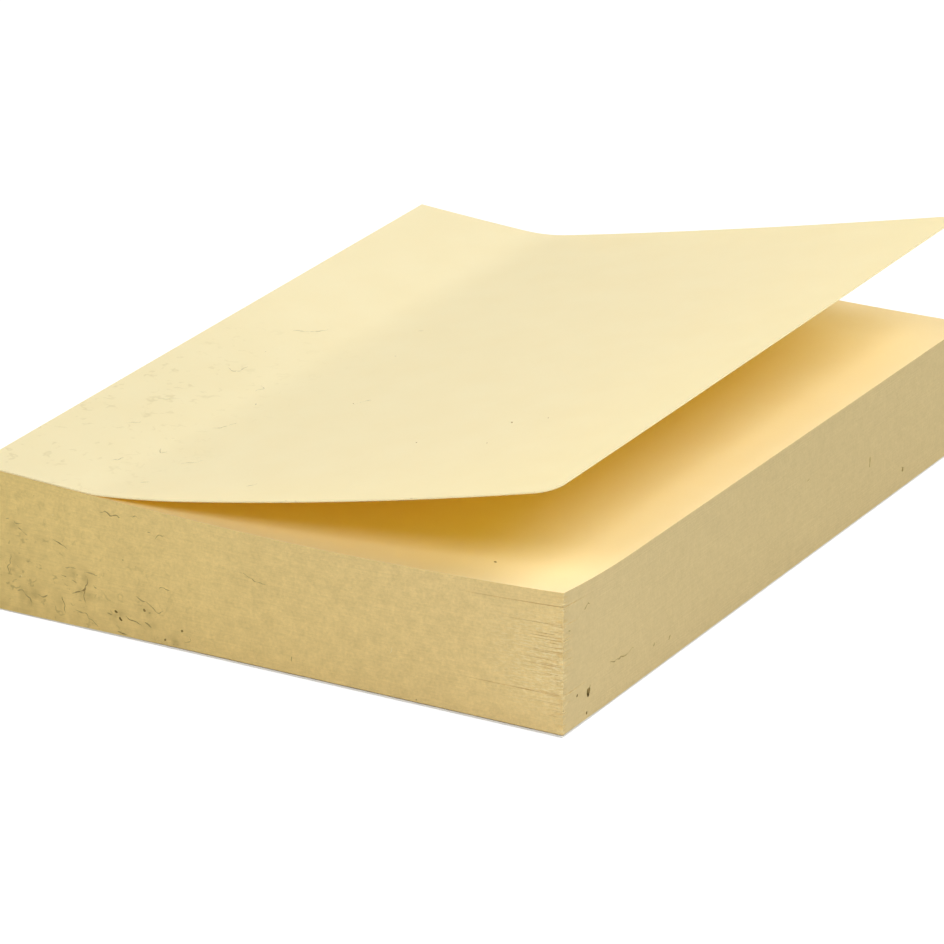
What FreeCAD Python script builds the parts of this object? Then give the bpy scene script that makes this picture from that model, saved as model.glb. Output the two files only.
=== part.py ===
import FreeCAD, Part
import math
import os

# A pad of small self-stick notes, 1.5 by 2 inches, with its top note peeled up from the free side.
# Millimetres. X runs from the glued side to the free side, Y along the longer side, Z up from the table.
# The origin is under the middle of the pad.

# The notes
pad_width = 38.1
pad_length = 50.8
sheet_thickness = 0.0804
sheet_count = 99  # under the top note
glue_width = 7.4  # the strip under each note, along the glued side
glue_thickness = 0.03  # lifts the top note off the next one

# The release liner under the last note
liner_thickness = 0.12
liner_inset = 0.08
liner_gap = 0.13  # how far the notes stand off the liner at the free side

# How the stack stands above its pressed height: the glue makes the glued side thicker, and the
# free side is loose. Near and far are the two ends of the pad along Y.
near_glued_rise = 0.6
near_free_rise = 0.16
far_glued_rise = 0.62
far_middle_drop = 0.27
far_free_drop = 0.27

# The near free corner is thumbed up
corner_curl = 0.4
curl_along_width = 18.0
curl_along_length = 8.0

# The cut edges: the sheets stand in bundles, and every other bundle is a hair shorter
bundle_sheet_count = 5
bundle_set_back = 0.03
set_back_spread = 0.02

# Slits where the sheets have parted at the thumbed corner, one in each full bundle from the lowest
# up: how far each runs along X
slit_runs = (1.2, 2.4, 1.5, 1.7, 1.1, 5.1, 1.4, 2.1, 1.2, 2.3, 1.5, 1.9, 1.2, 2.2, 1.4, 3.7, 1.8, 5.2, 1.3)
slit_opening = 0.03  # of a slit at the corner
slit_spread = 0.008  # added to its opening for each millimetre of its run
slit_turn = 0.6  # its run along Y, for each millimetre along X

# The lifted note, at its near and far ends: how long each bend is and the slope it ends at
near_peel_length = 0.9
near_peel_angle = 5.3
near_lift_length = 5.6
near_lift_angle = 10.3
near_end_angle = 14.9
far_peel_length = 3.0
far_peel_angle = 11.1
far_lift_length = 5.9
far_lift_angle = 12.0
far_end_angle = 13.6

# Construction
surface_span_count = 14  # spans of the grid that a bowed surface is drawn through
reach = 1.0  # how far a cutter stands outside the pad
depth = 60.0  # how far a cutter goes down, past the table


def parabola(u, glued, middle, free):
    """The height at u, from 0 at the glued side to 1 at the free side, through three heights."""
    return glued * (1 - u) * (1 - 2 * u) + middle * 4 * u * (1 - u) + free * u * (2 * u - 1)


def stack_height(x, y, sheets):
    """The height of the boundary that has this many sheets below it."""
    u = x / pad_width + 0.5
    v = y / pad_length + 0.5
    near = parabola(u, near_glued_rise, 0.0, near_free_rise)
    far = parabola(u, far_glued_rise, -far_middle_drop, -far_free_drop)
    bow = near * (1 - v) + far * v
    base = liner_thickness + liner_gap * u * u
    top = liner_thickness + sheet_count * sheet_thickness + bow
    return base + (top - base) * sheets / sheet_count


def corner_lift(x, y):
    """How far the thumbed corner of the topmost sheets is curled up at this place."""
    along_width = max(0.0, 1 - (pad_width / 2 - x) / curl_along_width)
    along_length = max(0.0, 1 - (y + pad_length / 2) / curl_along_length)
    return corner_curl * along_width ** 1.5 * along_length ** 2


def below(sheets, grow=0.0):
    """Everything under that boundary, down past the table. The boundary is parabolas along the width,
    joined by straight lines along the length."""
    half_width = pad_width / 2 + grow
    half_length = pad_length / 2 + grow
    surface = Part.BezierSurface()
    surface.increase(2, 1)
    for column, y in ((1, -half_length), (2, half_length)):
        glued, middle, free = [stack_height(x, y, sheets) for x in (-half_width, 0.0, half_width)]
        surface.setPole(1, column, FreeCAD.Vector(-half_width, y, glued))
        surface.setPole(2, column, FreeCAD.Vector(0, y, 2 * middle - (glued + free) / 2))
        surface.setPole(3, column, FreeCAD.Vector(half_width, y, free))
    return surface.toShape().extrude(FreeCAD.Vector(0, 0, -depth))


def below_top():
    """Everything under the topmost sheet, with the thumbed corner, drawn through a grid of heights."""
    rows = []
    for i in range(surface_span_count + 1):
        x = pad_width * (i / surface_span_count - 0.5)
        row = []
        for j in range(surface_span_count + 1):
            y = pad_length * (j / surface_span_count - 0.5)
            row.append(FreeCAD.Vector(x, y, stack_height(x, y, sheet_count) + corner_lift(x, y)))
        rows.append(row)
    surface = Part.BSplineSurface()
    surface.interpolate(rows)
    return surface.toShape().extrude(FreeCAD.Vector(0, 0, -depth))


def pad_prism(inset):
    """An upright block with the pad's outline, drawn in by the inset."""
    width = pad_width - 2 * inset
    length = pad_length - 2 * inset
    corner = FreeCAD.Vector(-width / 2, -length / 2, -depth)
    return Part.makeBox(width, length, 2 * depth, corner)


def set_back_ring(bundle):
    """What is trimmed round the edges of one bundle."""
    first = bundle * bundle_sheet_count
    inset = bundle_set_back + set_back_spread * math.sin(2.3 * bundle)
    ring = below(first + bundle_sheet_count, reach)
    if bundle > 0:
        ring = ring.cut(below(first, 2 * reach))
    return ring.cut(pad_prism(inset))


def slit(bundle, run):
    """A thin wedge of air at the near free corner, open at the corner and closed where its run ends."""
    sheets = (bundle + 0.5) * bundle_sheet_count
    corner_x = pad_width / 2
    corner_y = -pad_length / 2
    turn = run * slit_turn
    ends = ((corner_x - run, corner_y), (corner_x, corner_y + turn))
    closed = [FreeCAD.Vector(x, y, stack_height(x, y, sheets)) for x, y in ends]
    level = stack_height(corner_x, corner_y, sheets)
    lower = FreeCAD.Vector(corner_x + run * 0.1, corner_y - turn * 0.1, level)
    upper = lower + FreeCAD.Vector(0, 0, slit_opening + slit_spread * run)
    corners = closed + [lower, upper]
    faces = []
    for left_out in range(4):
        ring = [corners[i] for i in range(4) if i != left_out]
        faces.append(Part.Face(Part.makePolygon(ring + [ring[0]])))
    return Part.Solid(Part.Shell(faces))


def make_note_block():
    """The notes under the top one, as one solid with bowed sheets, stepped edges and parted corner."""
    block = below_top()
    block = block.cut(below(0, reach))
    bundles = sheet_count // bundle_sheet_count
    cutters = [set_back_ring(bundle) for bundle in range(0, bundles, 2)]
    for bundle, run in zip(range(bundles), slit_runs):
        cutters.append(slit(bundle, run))
    return block.cut(cutters).Solids[0]


class SheetEdge:
    """Draws the top note's section: points along its under side, and the same points on its top side."""

    def __init__(self, y):
        self.y = y
        self.x = -pad_width / 2
        self.z = stack_height(self.x, y, sheet_count) + glue_thickness
        self.angle = 0.0
        self.under = []
        self.top = []

    def spot(self, x, z, angle, side):
        """A point of the under side, or the point of the top side straight across from it."""
        x = x - side * sheet_thickness * math.sin(angle)
        z = z + side * sheet_thickness * math.cos(angle)
        return FreeCAD.Vector(x, self.y, z)

    def lie_on_block(self, length):
        """The glued strip, which follows the parabola of the block's top."""
        end_x = self.x + length
        middle_x = self.x + length / 2
        middle_z = stack_height(middle_x, self.y, sheet_count) + glue_thickness
        end_z = stack_height(end_x, self.y, sheet_count) + glue_thickness
        pole_z = 2 * middle_z - (self.z + end_z) / 2
        start_angle = math.atan2(pole_z - self.z, length / 2)
        end_angle = math.atan2(end_z - pole_z, length / 2)
        stations = (
            (self.x, self.z, start_angle),
            (middle_x, pole_z, (start_angle + end_angle) / 2),
            (end_x, end_z, end_angle),
        )
        for side, edges in ((0, self.under), (1, self.top)):
            curve = Part.BezierCurve()
            curve.setPoles([self.spot(x, z, angle, side) for x, z, angle in stations])
            edges.append(curve.toShape())
        self.x = end_x
        self.z = end_z
        self.angle = end_angle

    def bend(self, length, degrees):
        """An arc of this length that ends at this slope."""
        end_angle = math.radians(degrees)
        turn = end_angle - self.angle
        radius = length / turn
        stations = []
        for share in (0.0, 0.5, 1.0):
            angle = self.angle + turn * share
            x = self.x + radius * (math.sin(angle) - math.sin(self.angle))
            z = self.z - radius * (math.cos(angle) - math.cos(self.angle))
            stations.append((x, z, angle))
        for side, edges in ((0, self.under), (1, self.top)):
            arc = Part.Arc(*[self.spot(x, z, angle, side) for x, z, angle in stations])
            edges.append(arc.toShape())
        self.x, self.z, self.angle = stations[-1]

    def closed_wire(self):
        """The whole section, with its two cut ends."""
        edges = self.under + self.top
        for end in (0, -1):
            low = self.under[end].Vertexes[end].Point
            high = self.top[end].Vertexes[end].Point
            edges.append(Part.makeLine(low, high))
        return Part.Wire(Part.__sortEdges__(edges))


def sheet_section(y, peel_length, peel_angle, lift_length, lift_angle, end_angle):
    """The lifted note's section: glued strip, tight bend where it peels, easier lift, long curl."""
    edge = SheetEdge(y)
    edge.lie_on_block(glue_width)
    edge.bend(peel_length, peel_angle)
    edge.bend(lift_length, lift_angle)
    edge.bend(pad_width - glue_width - peel_length - lift_length, end_angle)
    return edge.closed_wire()


def make_top_sheet():
    """The top note. Paper bends one way at a time, so straight lines join its two end sections."""
    near = sheet_section(
        -pad_length / 2,
        near_peel_length,
        near_peel_angle,
        near_lift_length,
        near_lift_angle,
        near_end_angle,
    )
    far = sheet_section(
        pad_length / 2,
        far_peel_length,
        far_peel_angle,
        far_lift_length,
        far_lift_angle,
        far_end_angle,
    )
    return Part.makeLoft([near, far], True, True)


def make_backing_sheet():
    """The release liner, flat on the table and cut a little back from the notes."""
    width = pad_width - 2 * liner_inset
    length = pad_length - 2 * liner_inset
    corner = FreeCAD.Vector(-width / 2, -length / 2, 0)
    return Part.makeBox(width, length, liner_thickness, corner)


pieces = {
    "note_block": make_note_block(),
    "top_sheet": make_top_sheet(),
    "backing_sheet": make_backing_sheet(),
}

os.makedirs("parts", exist_ok=True)
for name, shape in pieces.items():
    shape.exportStep("parts/" + name + ".step")
    volume = round(shape.Volume, 2)
    print(name, shape.ShapeType, "solids", len(shape.Solids), "valid", shape.isValid(), "mm3", volume)
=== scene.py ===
import math

import bpy
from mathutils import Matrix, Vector


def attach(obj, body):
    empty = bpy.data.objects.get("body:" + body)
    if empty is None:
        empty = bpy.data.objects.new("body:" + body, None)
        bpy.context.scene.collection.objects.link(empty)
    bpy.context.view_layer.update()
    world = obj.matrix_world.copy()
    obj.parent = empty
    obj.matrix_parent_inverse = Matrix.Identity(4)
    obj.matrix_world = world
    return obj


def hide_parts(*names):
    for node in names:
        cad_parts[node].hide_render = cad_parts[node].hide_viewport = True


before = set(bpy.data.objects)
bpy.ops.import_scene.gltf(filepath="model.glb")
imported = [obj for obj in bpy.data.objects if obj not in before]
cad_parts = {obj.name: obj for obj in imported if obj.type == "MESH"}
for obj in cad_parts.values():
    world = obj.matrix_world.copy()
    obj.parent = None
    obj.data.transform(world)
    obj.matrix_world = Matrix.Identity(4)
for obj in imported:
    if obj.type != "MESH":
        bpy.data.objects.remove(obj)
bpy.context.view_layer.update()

# A pad of small self-stick notes, lit as on a white studio table, with its top note peeled up.
# Lengths are in millimetres until a mesh is finished, and then in metres.
# X runs from the glued side to the free side, Y along the longer side, Z up from the table.

MM = 0.001

# The notes, as in the CAD part
pad_width = 38.1
pad_length = 50.8
sheet_thickness = 0.0804
stack_sheets = 99
glue_width = 7.4
glue_thickness = 0.03
liner_thickness = 0.12
liner_gap = 0.085  # how far the notes stand off the liner along the near side

# How the stack stands above its pressed height, at the glued side, the middle and the free side
near_rises = (0.6, 0.0, 0.16)
far_rises = (0.62, -0.27, -0.27)
corner_curl = 0.4  # of the thumbed near free corner
curl_along_width = 18.0
curl_along_length = 8.0

# The lifted note: length and end slope in degrees of each bend, at its near and far ends
near_bends = ((0.9, 5.3), (5.6, 10.3), (24.2, 14.9))
far_bends = ((3.0, 11.1), (5.9, 12.0), (21.8, 13.65))
worn_corner = 1.2  # radius that its near free corner is worn round to

# The parted sheets at the thumbed corner: which gap between sheets, and how far it runs along X
long_slits = {12: 2.2, 27: 6.6, 76: 4.2, 89: 7.0}
slit_turn = 0.4  # its run along Y, for each millimetre along X

pressed_top = liner_thickness + stack_sheets * sheet_thickness
free_x = pad_width / 2
near_y = -pad_length / 2


def linear(hex_colour):
    """An sRGB hex colour as the linear colour that a shader takes."""
    channels = [int(hex_colour[i:i + 2], 16) / 255 for i in (1, 3, 5)]
    return [c / 12.92 if c <= 0.04045 else ((c + 0.055) / 1.055) ** 2.4 for c in channels] + [1.0]


def add(tree, kind, sockets=None, **settings):
    """Adds a node with its settings, and fills its sockets with plain values or other nodes' outputs.
    A node given as a value stands for its first output."""
    node = tree.nodes.new(kind)
    for name, value in settings.items():
        setattr(node, name, value)
    for key, value in (sockets or {}).items():
        if isinstance(value, bpy.types.Node):
            value = value.outputs[0]
        if isinstance(value, bpy.types.NodeSocket):
            tree.links.new(value, node.inputs[key])
        else:
            node.inputs[key].default_value = value
    return node


MATH = "ShaderNodeMath"
VECTOR = "ShaderNodeVectorMath"
RANDOM = "FunctionNodeRandomValue"
NOISE = "ShaderNodeTexNoise"
MIX = "ShaderNodeMix"
RANGE = "ShaderNodeMapRange"


# ---- materials ----


def new_material(name):
    """An empty node material and its tree."""
    material = bpy.data.materials.new(name)
    material.use_nodes = True
    material.node_tree.nodes.clear()
    return material, material.node_tree


def finish_material(tree, surface):
    """Joins a shader to the material's output."""
    add(tree, "ShaderNodeOutputMaterial", {"Surface": surface})


# Where the near side is soiled: X, Z and radius of each spot
smudges = ((-12.3, 3.1, 1.4), (-15.6, 1.3, 1.3), (-16.9, 3.0, 1.2), (-9.7, 1.3, 0.9), (-7.7, 1.6, 0.9),
           (-5.8, 0.4, 0.8), (-16.3, 5.4, 0.8), (-13.3, 1.3, 0.8), (-11.9, 2.3, 0.9))


def curled_hairs(tree, place, across):
    """Hairs that curl about this widely: the thin level lines of one noise, broken up by another."""
    curls = add(tree, NOISE, {"Vector": place, "Scale": 1 / (across * MM), "Detail": 2.0, "Roughness": 0.55})
    curls = add(tree, MATH, {0: curls, 1: 0.5}, operation="SUBTRACT")
    curls = add(tree, MATH, {0: curls}, operation="ABSOLUTE")
    curls = add(tree, RANGE, {0: curls, 1: 0.0, 2: 0.05, 3: 1.0, 4: 0.0})
    broken = add(tree, NOISE, {"Vector": place, "Scale": 1 / (0.7 * across * MM), "Detail": 2.0, "Roughness": 0.6})
    broken = add(tree, RANGE, {0: broken, 1: 0.53, 2: 0.62, 3: 0.0, 4: 1.0})
    return add(tree, MATH, {0: curls, 1: broken}, operation="MULTIPLY")


def cut_edge_paper():
    """Uncoated yellow note paper, guillotine-cut in a stack: the fibre ends make a felt-like side, with
    short level streaks where single sheets are a hair lighter or darker, a pale worn corner where the
    stack is thumbed, and greyish smudges from the desk low on the near side."""
    material, tree = new_material("uncoated_note_paper_guillotined_edges")
    place = add(tree, "ShaderNodeTexCoord").outputs["Object"]
    sheet = add(tree, "ShaderNodeAttribute", attribute_name="sheet").outputs["Fac"]
    parted = add(tree, "ShaderNodeAttribute", attribute_name="parted").outputs["Fac"]
    normal = add(tree, "ShaderNodeNewGeometry").outputs["True Normal"]
    spot = add(tree, "ShaderNodeSeparateXYZ", {0: place})
    side = add(tree, "ShaderNodeSeparateXYZ", {0: normal})
    facing_x = add(tree, MATH, {0: side.outputs[0]}, operation="ABSOLUTE")
    facing_x = add(tree, RANGE, {0: facing_x, 1: 0.3, 2: 0.8, 3: 0.0, 4: 1.0})
    on_near_side = add(tree, MATH, {0: side.outputs[1], 1: -0.3}, operation="LESS_THAN")
    # Painted shade: the short sides are darker and deeper yellow towards the glued side, and the long
    # sides are a duller, darker copy of the same paper, for how the lamps fall on each side
    along_width = add(tree, RANGE, {0: spot, 1: -free_x * MM, 2: free_x * MM, 3: 0.0, 4: 1.0})
    short_side_painted_shade = add(tree, MIX, {
        "Factor": along_width, 6: linear("#E6CB83"), 7: linear("#ECD193"),
    }, data_type="RGBA")
    # Painted shade: the long sides darken from the near end towards the middle
    along_length = add(tree, RANGE, {0: spot.outputs[1], 1: near_y * MM, 2: (near_y + 25.0) * MM, 3: 0.0, 4: 1.0})
    long_side_painted_shade = add(tree, MIX, {
        "Factor": along_length, 6: linear("#D8C390"), 7: linear("#D0BC8A"),
    }, data_type="RGBA")
    paper = add(tree, MIX, {"Factor": facing_x, 6: short_side_painted_shade.outputs[2], 7: long_side_painted_shade.outputs[2]}, data_type="RGBA")
    # A streak is one sheet thick and about a millimetre long
    along = add(tree, MATH, {0: spot, 1: spot.outputs[1]}, operation="ADD")
    streak_place = add(tree, "ShaderNodeCombineXYZ", {
        0: add(tree, MATH, {0: along, 1: 1 / (1.4 * MM)}, operation="MULTIPLY"),
        1: add(tree, MATH, {0: sheet, 1: 0.8}, operation="MULTIPLY"),
    })
    streaks = add(tree, NOISE, {"Vector": streak_place, "Scale": 1.0, "Detail": 2.0, "Roughness": 0.6})
    # Fibre ends are about 0.02 mm across, drawn here as clumps of 0.2 mm so that they show
    grain = add(tree, NOISE, {"Vector": place, "Scale": 1 / (0.2 * MM), "Detail": 3.0, "Roughness": 0.65})
    # Blotches of a millimetre or two, where the blade pressed the fibres flatter
    blotches = add(tree, NOISE, {"Vector": place, "Scale": 1 / (0.7 * MM), "Detail": 4.0, "Roughness": 0.7})
    clouds = add(tree, NOISE, {"Vector": place, "Scale": 1 / (6.0 * MM), "Detail": 1.0})
    level = None
    for pattern, low, high in ((streaks, 0.955, 1.035), (grain, 0.93, 1.06), (blotches, 0.93, 1.06), (clouds, 0.98, 1.02)):
        shade = add(tree, RANGE, {0: pattern, 1: 0.3, 2: 0.7, 3: low, 4: high})
        level = add(tree, MATH, {0: level, 1: shade}, operation="MULTIPLY") if level else shade
    # The long sides are cut along more of the fibres and come out smoother
    smoother = add(tree, MATH, {0: facing_x, 1: 0.5}, operation="MULTIPLY")
    level = add(tree, MIX, {"Factor": smoother, 2: level, 3: 1.0}, data_type="FLOAT")
    colour = add(tree, VECTOR, {0: paper.outputs[2], "Scale": level}, operation="SCALE")
    # Parted and rubbed sheets at the thumbed corner show loose pale fibre
    fluff = add(tree, NOISE, {"Vector": place, "Scale": 1 / (0.35 * MM), "Detail": 2.0, "Roughness": 0.7})
    worn = add(tree, RANGE, {0: parted, 1: 0.0, 2: 0.7, 3: 0.0, 4: 1.0})
    fluff = add(tree, RANGE, {0: fluff, 1: 0.45, 2: 0.65, 3: 0.25, 4: 1.0})
    worn = add(tree, MATH, {0: worn, 1: fluff}, operation="MULTIPLY")
    worn = add(tree, MATH, {0: worn, 1: 0.6}, operation="MULTIPLY")
    colour = add(tree, MIX, {"Factor": worn, 6: colour, 7: linear("#EEDFAF")}, data_type="RGBA")
    # There the blade and the thumb have pulled pale burrs out of the near side, a sheet thick each
    burr_place = add(tree, "ShaderNodeCombineXYZ", {
        0: add(tree, MATH, {0: along, 1: 1 / (0.45 * MM)}, operation="MULTIPLY"),
        1: add(tree, MATH, {0: sheet, 1: 0.9}, operation="MULTIPLY"),
    })
    burrs = add(tree, NOISE, {"Vector": burr_place, "Scale": 1.0, "Detail": 2.0, "Roughness": 0.6})
    burrs = add(tree, RANGE, {0: burrs, 1: 0.48, 2: 0.62, 3: 0.0, 4: 1.0})
    for reading, low, high in ((spot, free_x - 5.5, free_x), (spot.outputs[2], 0.6, 3.0), (spot.outputs[2], 8.0, 5.5)):
        near = add(tree, RANGE, {0: reading, 1: low * MM, 2: high * MM, 3: 0.0, 4: 1.0})
        burrs = add(tree, MATH, {0: burrs, 1: near}, operation="MULTIPLY")
    burrs = add(tree, MATH, {0: burrs, 1: on_near_side}, operation="MULTIPLY")
    burrs = add(tree, MATH, {0: burrs, 1: 0.65}, operation="MULTIPLY")
    colour = add(tree, MIX, {"Factor": burrs, 6: colour.outputs[2], 7: linear("#FBEBBB")}, data_type="RGBA")
    # Smudges from the desk: a thin veil low down towards the glued side, and a few thicker spots
    across = add(tree, RANGE, {0: spot, 1: -19.0 * MM, 2: -4.0 * MM, 3: 0.5, 4: 0.0})
    upward = add(tree, RANGE, {0: spot.outputs[2], 1: 0.5 * MM, 2: 6.5 * MM, 3: 1.0, 4: 0.0})
    soiled = add(tree, MATH, {0: across, 1: upward}, operation="MULTIPLY")
    for x, z, radius in smudges:
        away = add(tree, VECTOR, {0: place, 1: (x * MM, near_y * MM, z * MM)}, operation="DISTANCE")
        here = add(tree, RANGE, {0: away.outputs["Value"], 1: radius * MM, 2: 0.2 * radius * MM, 3: 0.0, 4: 1.0})
        soiled = add(tree, MATH, {0: soiled, 1: here}, operation="MAXIMUM")
    smudge = add(tree, NOISE, {"Vector": place, "Scale": 1 / (0.8 * MM), "Detail": 4.0, "Roughness": 0.65})
    smudge = add(tree, RANGE, {0: smudge, 1: 0.42, 2: 0.66, 3: 0.0, 4: 1.0})
    smudge = add(tree, MATH, {0: smudge, 1: soiled}, operation="MULTIPLY")
    smudge = add(tree, MATH, {0: smudge, 1: 0.55}, operation="MULTIPLY")
    # Hairs too fine to be threads of their own cling there, and fewer of them further on and higher up
    hairs = curled_hairs(tree, place, 0.9)
    for reading, full, none, most, least in ((spot, -16.0, -2.0, 0.6, 0.0), (spot.outputs[2], 3.5, 6.5, 1.0, 0.3)):
        share = add(tree, RANGE, {0: reading, 1: full * MM, 2: none * MM, 3: most, 4: least})
        hairs = add(tree, MATH, {0: hairs, 1: share}, operation="MULTIPLY")
    smudge = add(tree, MATH, {0: smudge, 1: hairs}, operation="MAXIMUM")
    smudge = add(tree, MATH, {0: smudge, 1: on_near_side}, operation="MULTIPLY")
    colour = add(tree, MIX, {"Factor": smudge, 6: colour.outputs[2], 7: linear("#9A8552")}, data_type="RGBA")
    relief = add(tree, "ShaderNodeBump", {"Height": grain, "Strength": 0.4, "Distance": 0.03 * MM})
    finish_material(tree, add(tree, "ShaderNodeBsdfPrincipled", {
        "Base Color": colour.outputs[2], "Roughness": 0.92, "IOR": 1.5, "Specular IOR Level": 0.25,
        "Normal": relief,
    }))
    return material


def flat_paper(name, light, dark, pass_through):
    """Uncoated yellow note paper, machine-made: smooth and matt, with the soft cloudiness of its pulp
    and the faintest tooth. Light goes through it, deeper yellow than what it throws back."""
    material, tree = new_material(name)
    place = add(tree, "ShaderNodeTexCoord").outputs["Object"]
    # Pulp clouds are 2 to 5 mm across
    clouds = add(tree, NOISE, {"Vector": place, "Scale": 320.0, "Detail": 3.0, "Roughness": 0.55})
    # Fibres are 0.02 mm thick, drawn here 0.1 mm across so that their tooth shows
    tooth = add(tree, NOISE, {"Vector": place, "Scale": 9000.0, "Detail": 2.0, "Roughness": 0.6})
    share = add(tree, MATH, {
        0: add(tree, RANGE, {0: clouds, 1: 0.3, 2: 0.7, 3: 0.0, 4: 0.6}),
        1: add(tree, RANGE, {0: tooth, 1: 0.3, 2: 0.7, 3: 0.0, 4: 0.4}),
    }, operation="ADD")
    colour = add(tree, MIX, {"Factor": share, 6: linear(light), 7: linear(dark)}, data_type="RGBA")
    if pass_through:
        # Its face is a little duller towards the near glued corner, and faint hairs lie there
        spot = add(tree, "ShaderNodeSeparateXYZ", {0: place})
        toward_glued_corner = None
        for reading, full, none in ((spot, -16.0, -6.0), (spot.outputs[1], -8.0, 6.0)):
            near = add(tree, RANGE, {0: reading, 1: full * MM, 2: none * MM, 3: 1.0, 4: 0.0})
            toward_glued_corner = add(tree, MATH, {0: toward_glued_corner, 1: near}, operation="MULTIPLY") if toward_glued_corner else near
        dirt = add(tree, MATH, {0: curled_hairs(tree, place, 1.3), 1: 0.35, 2: 0.12}, operation="MULTIPLY_ADD")
        dirt = add(tree, MATH, {0: dirt, 1: toward_glued_corner}, operation="MULTIPLY")
        colour = add(tree, MIX, {"Factor": dirt, 6: colour.outputs[2], 7: linear("#CFC597")}, data_type="RGBA")
        # Painted light: the back is a deeper yellow, standing in for the golden light that bounces to and fro in the
        # gap under the note
        normal = add(tree, "ShaderNodeSeparateXYZ", {0: add(tree, "ShaderNodeNewGeometry").outputs["Normal"]})
        back_painted_bounce_light = add(tree, MATH, {0: normal.outputs[2], 1: -0.5}, operation="LESS_THAN")
        colour = add(tree, MIX, {
            "Factor": back_painted_bounce_light, 6: colour.outputs[2], 7: linear("#FBF46A"),
        }, data_type="RGBA")
    relief = add(tree, "ShaderNodeBump", {"Height": tooth, "Strength": 0.25, "Distance": 0.01 * MM})
    face = add(tree, "ShaderNodeBsdfPrincipled", {
        "Base Color": colour.outputs[2], "Roughness": 0.85, "IOR": 1.5, "Specular IOR Level": 0.3,
        "Normal": relief,
    })
    if pass_through == 0:
        finish_material(tree, face)
        return material
    through = add(tree, "ShaderNodeBsdfTranslucent", {"Color": linear("#FFEE84")})
    finish_material(tree, add(tree, "ShaderNodeMixShader", {0: pass_through, 1: face, 2: through}))
    return material


def liner_paper():
    """White release liner, silicone-coated: smooth, with a faint sheen along its cut."""
    material, tree = new_material("silicone_coated_release_liner")
    place = add(tree, "ShaderNodeTexCoord").outputs["Object"]
    clouds = add(tree, NOISE, {"Vector": place, "Scale": 500.0, "Detail": 2.0})
    colour = add(tree, MIX, {
        "Factor": clouds, 6: linear("#F4F4F1"), 7: linear("#E9E8E3"),
    }, data_type="RGBA")
    shine = add(tree, RANGE, {0: clouds, 1: 0.3, 2: 0.7, 3: 0.38, 4: 0.5})
    finish_material(tree, add(tree, "ShaderNodeBsdfPrincipled", {
        "Base Color": colour.outputs[2], "Roughness": shine, "IOR": 1.45,
    }))
    return material


def loose_lint(name, light, dark):
    """Loose cotton lint and fibre off worn paper: dull and dry, its tint changing from thread to thread."""
    material, tree = new_material(name)
    place = add(tree, "ShaderNodeTexCoord").outputs["Object"]
    tint = add(tree, NOISE, {"Vector": place, "Scale": 1 / (2.0 * MM), "Detail": 2.0})
    tint = add(tree, RANGE, {0: tint, 1: 0.35, 2: 0.65, 3: 0.0, 4: 1.0})
    colour = add(tree, MIX, {"Factor": tint, 6: linear(light), 7: linear(dark)}, data_type="RGBA")
    finish_material(tree, add(tree, "ShaderNodeBsdfPrincipled", {
        "Base Color": colour.outputs[2], "Roughness": 1.0, "IOR": 1.5, "Specular IOR Level": 0.1,
    }))
    return material


# ---- making pieces ----


def new_tree(name, sizes):
    """A geometry tree with one named input for each size. Gives the tree and its group input."""
    tree = bpy.data.node_groups.new(name, "GeometryNodeTree")
    tree.interface.new_socket("Geometry", in_out="OUTPUT", socket_type="NodeSocketGeometry")
    kinds = {int: "NodeSocketInt", float: "NodeSocketFloat", tuple: "NodeSocketVector",
             bpy.types.Object: "NodeSocketObject"}
    for label, value in sizes.items():
        tree.interface.new_socket(label, in_out="INPUT", socket_type=kinds[type(value)])
    return tree, add(tree, "NodeGroupInput").outputs


def end_tree(tree, geometry, material):
    """The tree's end: millimetres to metres, plain mesh, material, output."""
    scaled = add(tree, "GeometryNodeTransform", {"Geometry": geometry, "Scale": (MM, MM, MM)})
    real = add(tree, "GeometryNodeRealizeInstances", {0: scaled})
    if material:
        real = add(tree, "GeometryNodeSetMaterial", {0: real, "Material": material})
    add(tree, "NodeGroupOutput", {0: real})


def grow(name, tree, sizes, thickness=0.0):
    """Runs a geometry tree and keeps its result as a plain mesh object at the origin."""
    maker = bpy.data.objects.new("maker", bpy.data.meshes.new("maker"))
    bpy.context.scene.collection.objects.link(maker)
    modifier = maker.modifiers.new("tree", "NODES")
    modifier.node_group = tree
    for socket in tree.interface.items_tree:
        if socket.in_out == "INPUT":
            modifier[socket.identifier] = sizes[socket.name]
    if thickness:
        wall = maker.modifiers.new("thickness", "SOLIDIFY")
        wall.thickness = thickness * MM
        wall.offset = 1.0
        wall.use_even_offset = True
    graph = bpy.context.evaluated_depsgraph_get()
    mesh = bpy.data.meshes.new_from_object(
        maker.evaluated_get(graph), preserve_all_data_layers=True, depsgraph=graph
    )
    mesh.name = name
    bpy.data.objects.remove(maker)
    piece = bpy.data.objects.new(name, mesh)
    bpy.context.scene.collection.objects.link(piece)
    return piece


# ---- the note stack ----

stack_sizes = {
    "Pad width": pad_width,
    "Pad length": pad_length,
    "Sheets": stack_sheets,
    "Columns along width": 54,
    "Columns along length": 72,
    "Column grading": 1.4,
    "Liner thickness": liner_thickness,
    "Liner gap": liner_gap,
    "Corner curl": corner_curl,
    "Curl along width": curl_along_width,
    "Curl along length": curl_along_length,
    "Sheet scatter": 0.006,
    "Edge wander": 0.012,
    "Groove depth": 0.006,
    "Short slit run": 3.4,
    "Slit depth": 0.085,
    "Slit opening": 0.013,
    "Corner raggedness": 0.055,
    "Seed": 7,
}
for end, rises, y in (("Near", near_rises, near_y), ("Far", far_rises, -near_y)):
    glued, middle, free = rises
    stack_sizes[end + " glued height"] = (-free_x, y, pressed_top + glued)
    stack_sizes[end + " pull height"] = (0.0, y, pressed_top + 2 * middle - (glued + free) / 2)
    stack_sizes[end + " free height"] = (free_x, y, pressed_top + free)


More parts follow.
